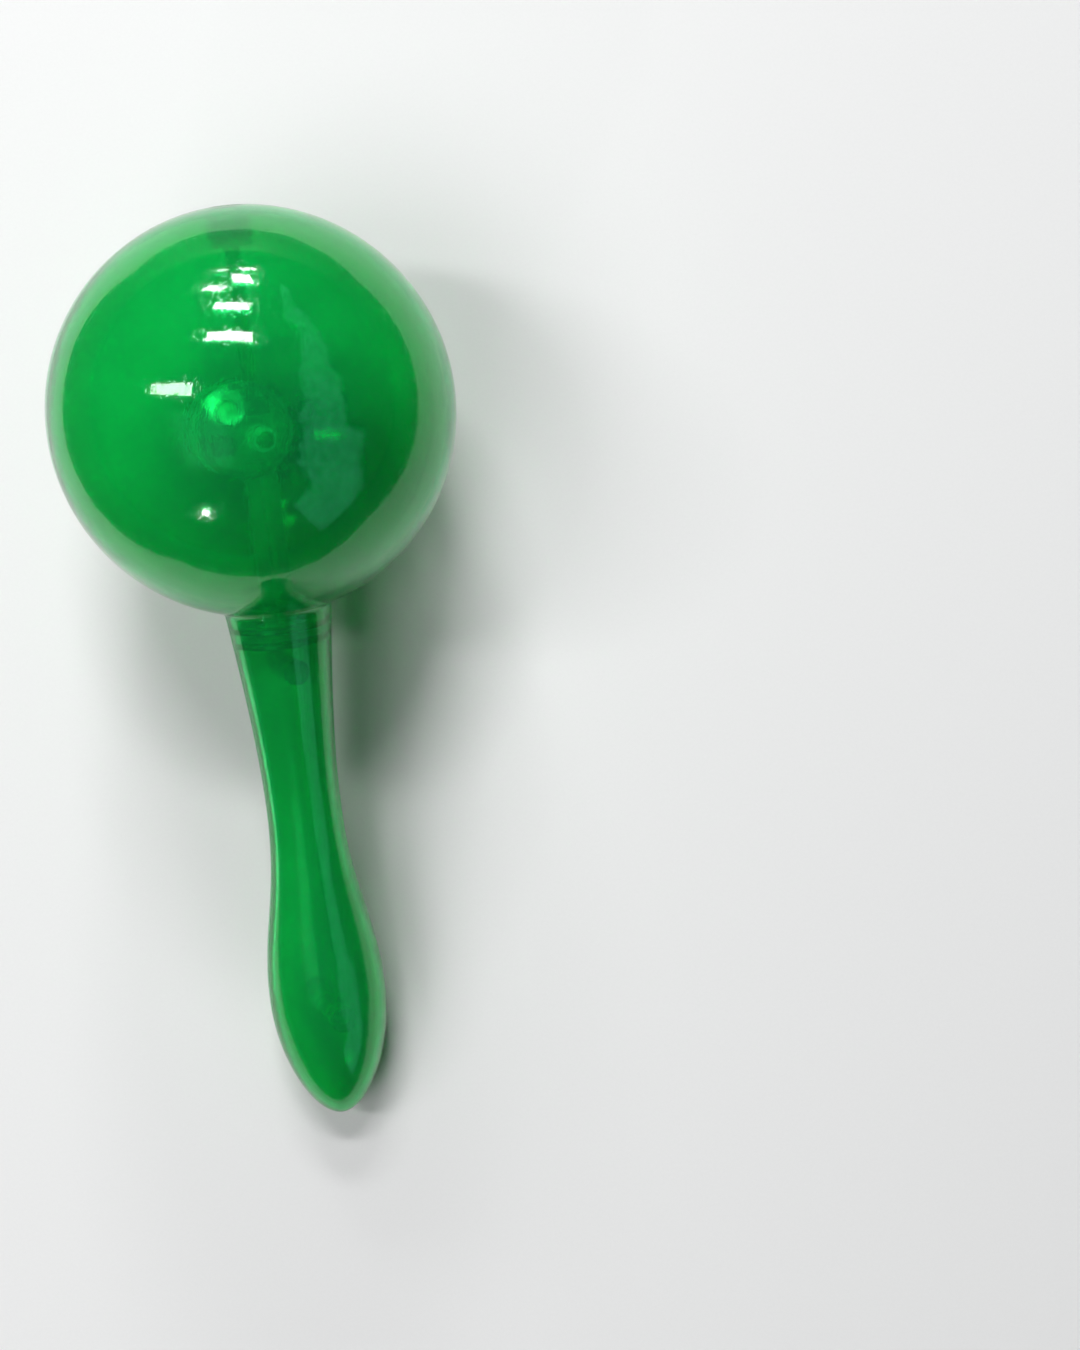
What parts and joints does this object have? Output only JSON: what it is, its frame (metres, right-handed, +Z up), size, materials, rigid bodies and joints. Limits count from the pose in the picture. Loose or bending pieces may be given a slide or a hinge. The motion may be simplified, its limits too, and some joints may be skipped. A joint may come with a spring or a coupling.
{
  "type": "light-up maraca",
  "caption": "Light-up maraca: a translucent ball on a waisted handle, split along its length, with a lit core on a post inside, rattle beads and a push button at the pole.",
  "frame": {"origin": "on the floor, under the middle of the maraca's box as it lies", "axes": "+Z up as the maraca lies on its ball and on the bulb of its handle; +Y from the handle's end towards the ball's pole with the push button; +X to the right"},
  "size_m": [0.0858, 0.1974, 0.0857],
  "materials": {
    "shell": "translucent green, polished",
    "button": "green, polished",
    "core_plastic": "milky white, satin",
    "cover": "clear, polished",
    "lit_lens": "clear lens, lit green",
    "clear_lens": "clear lens, unlit",
    "board": "green solder mask",
    "black_plastic": "black, matte",
    "contact": "sprung strip, bright",
    "cell": "nickel-plated can",
    "bead": "green, smooth"
  },
  "bodies": {
    "maraca": {"front_shell": "shell", "rear_shell": "shell", "core_carrier": "core_plastic", "core_cover": "cover", "circuit_board": "board", "upper_led": "lit_lens", "lower_led": "clear_lens", "driver_chip": "black_plastic", "switch_body": "black_plastic", "cell_bridge_rear": "contact", "cell_bridge_front": "contact", "cell_contact_rear": "contact", "cell_contact_front": "contact", "button_cell_1": "cell", "button_cell_2": "cell", "button_cell_3": "cell"},
    "button": {"top_button": "button"},
    "plunger": {"switch_plunger": "black_plastic"},
    "beads": {"rattle_bead_01": "bead", "rattle_bead_02": "bead", "rattle_bead_03": "bead", "rattle_bead_04": "bead", "rattle_bead_05": "bead", "rattle_bead_06": "bead", "rattle_bead_07": "bead", "rattle_bead_08": "bead", "rattle_bead_09": "bead", "rattle_bead_10": "bead", "rattle_bead_11": "bead", "rattle_bead_12": "bead"}
  },
  "joints": [
    {"name": "button_press", "type": "slide", "parent": "maraca", "child": "button", "axis": [0, -0.9745, -0.2242], "range_m": [0, 0.0006], "stiffness_N_per_m": 2500, "springref_m": -0.0002},
    {"name": "switch_press", "type": "slide", "parent": "maraca", "child": "plunger", "axis": [0, -0.9745, -0.2242], "range_m": [0, 0.0003]},
    {"name": "beads_roll", "type": "hinge", "parent": "maraca", "child": "beads", "pos_m": [0, 0.05575, 0.04289], "axis": [1, 0, 0], "range_deg": [-45, 60]}
  ],
  "couplings": [
    {"joint": "switch_press", "follows": "button_press", "ratio": 0.5}
  ]
}
